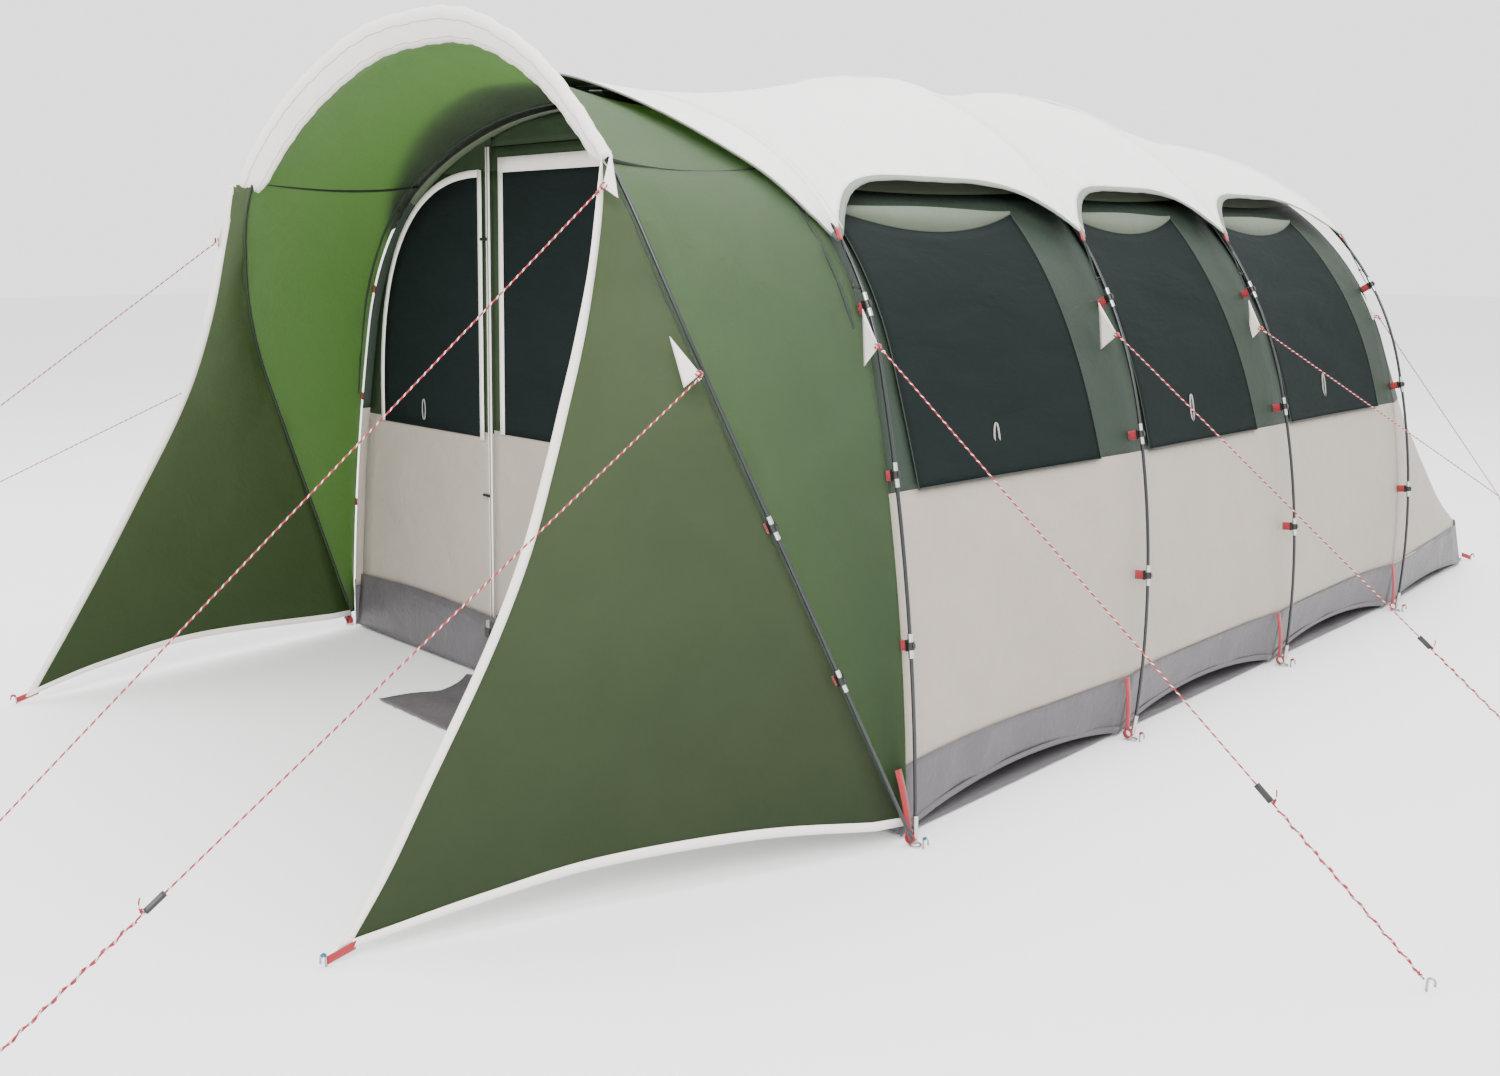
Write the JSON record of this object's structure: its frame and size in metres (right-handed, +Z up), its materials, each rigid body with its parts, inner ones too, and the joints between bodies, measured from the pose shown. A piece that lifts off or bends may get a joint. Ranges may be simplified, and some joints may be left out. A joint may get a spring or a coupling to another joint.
{
  "type": "pole tunnel tent",
  "caption": "Family tunnel tent on bent sectional poles: pale roof fly, windowed walls, sewn-in tub floor, swing door, porch with pegged wings and taut guy lines with sliding runners.",
  "frame": {"origin": "on the ground under the middle of the tent's outline, its guy lines and their pegs left out", "axes": "+Z up, +Y from the porch to the rear, +X to the tent's right seen from the rear"},
  "size_m": [5.6012, 7.2715, 2.127],
  "materials": {
    "roof_cloth": "coated polyester, matt",
    "inner_cloth": "thin lining, matt",
    "green_cloth": "coated polyester, matt",
    "olive_cloth": "coated polyester, matt",
    "beige_cloth": "coated polyester, matt",
    "window_film": "thin curtain behind clear film, slightly glossy",
    "ground_cloth": "woven polyethylene, satin",
    "cream_trim": "bound edge, matt",
    "green_trim": "bound edge, matt",
    "pole": "wound fibreglass, satin",
    "ferrule": "drawn steel, satin",
    "peg_steel": "painted steel with a bright shaft",
    "red_webbing": "woven webbing, matt",
    "black_plastic": "moulded, satin",
    "black_cord": "braided elastic",
    "grey_webbing": "woven webbing, matt",
    "zip_tape": "woven tape with coil teeth",
    "zip_metal": "satin",
    "guy_cord": "braided cord, pale with a red fleck",
    "runner_plastic": "moulded, satin"
  },
  "bodies": {
    "tent": {"clip_tabs": "red_webbing", "door_toggles": "grey_webbing", "foot_pins": "ferrule", "foot_rings": "ferrule", "foot_straps": "red_webbing", "front_wall": "green_cloth", "front_windows": "window_film", "ground_pegs": "peg_steel", "groundsheet_tub": "ground_cloth", "guy_line_front": "guy_cord", "guy_line_left_front": "guy_cord", "guy_line_left_porch": "guy_cord", "guy_line_porch_lower": "guy_cord", "guy_line_porch_upper": "guy_cord", "guy_line_rear": "guy_cord", "guy_line_second": "guy_cord", "guy_line_third": "guy_cord", "guy_loops": "red_webbing", "guy_patches": "beige_cloth", "guy_pegs": "peg_steel", "inner_roof": "inner_cloth", "lower_wall_left": "beige_cloth", "lower_wall_right": "beige_cloth", "pole_clips": "black_plastic", "pole_ferrules": "ferrule", "pole_hoop_front": "pole", "pole_hoop_rear": "pole", "pole_hoop_second": "pole", "pole_hoop_third": "pole", "pole_tips": "ferrule", "porch_binding": "cream_trim", "porch_canopy": "olive_cloth", "porch_pole": "pole", "porch_sleeve": "cream_trim", "porch_wing_left": "olive_cloth", "porch_wing_right": "olive_cloth", "rear_wall": "green_cloth", "rear_window": "window_film", "roof_binding": "green_trim", "roof_corner_tabs": "red_webbing", "roof_elastics": "black_cord", "roof_fly": "roof_cloth", "side_windows_left": "window_film", "side_windows_right": "window_film", "sill_mat": "ground_cloth", "upper_wall_left": "green_cloth", "upper_wall_right": "green_cloth", "window_loops": "grey_webbing", "zip_tapes": "zip_tape"},
    "door": {"front_door": "green_cloth", "door_window": "window_film"},
    "zip": {"zip_pull": "zip_metal"},
    "runner_front_body": {"runner_front": "runner_plastic"},
    "runner_left_front_body": {"runner_left_front": "runner_plastic"},
    "runner_left_porch_body": {"runner_left_porch": "runner_plastic"},
    "runner_porch_lower_body": {"runner_porch_lower": "runner_plastic"},
    "runner_porch_upper_body": {"runner_porch_upper": "runner_plastic"},
    "runner_rear_body": {"runner_rear": "runner_plastic"},
    "runner_second_body": {"runner_second": "runner_plastic"},
    "runner_third_body": {"runner_third": "runner_plastic"}
  },
  "joints": [
    {"name": "door_swing", "type": "hinge", "parent": "tent", "child": "door", "pos_m": [-0.4565, -1.50317, 0.21382], "axis": [0, 0.0349, 0.9994], "range_deg": [-95, 0]},
    {"name": "zip_slide", "type": "slide", "parent": "tent", "child": "zip", "axis": [0, 0.0349, 0.9994], "range_m": [0, 1.35]},
    {"name": "front_runner_slide", "type": "slide", "parent": "tent", "child": "runner_front_body", "axis": [-0.7251, -0.1126, 0.6793], "range_m": [-0.35, 0]},
    {"name": "left_front_runner_slide", "type": "slide", "parent": "tent", "child": "runner_left_front_body", "axis": [0.5749, 0.6968, 0.4289], "range_m": [-0.35, 0]},
    {"name": "left_porch_runner_slide", "type": "slide", "parent": "tent", "child": "runner_left_porch_body", "axis": [0.4255, 0.6815, 0.5954], "range_m": [-0.35, 0]},
    {"name": "porch_lower_runner_slide", "type": "slide", "parent": "tent", "child": "runner_porch_lower_body", "axis": [0.1273, 0.7938, 0.5946], "range_m": [-0.35, 0]},
    {"name": "porch_upper_runner_slide", "type": "slide", "parent": "tent", "child": "runner_porch_upper_body", "axis": [0.2152, 0.6921, 0.689], "range_m": [-0.35, 0]},
    {"name": "rear_runner_slide", "type": "slide", "parent": "tent", "child": "runner_rear_body", "axis": [-0.0933, -0.8242, 0.5586], "range_m": [-0.35, 0]},
    {"name": "second_runner_slide", "type": "slide", "parent": "tent", "child": "runner_second_body", "axis": [-0.6165, -0.3768, 0.6913], "range_m": [-0.35, 0]},
    {"name": "third_runner_slide", "type": "slide", "parent": "tent", "child": "runner_third_body", "axis": [-0.3645, -0.7945, 0.4857], "range_m": [-0.35, 0]}
  ]
}
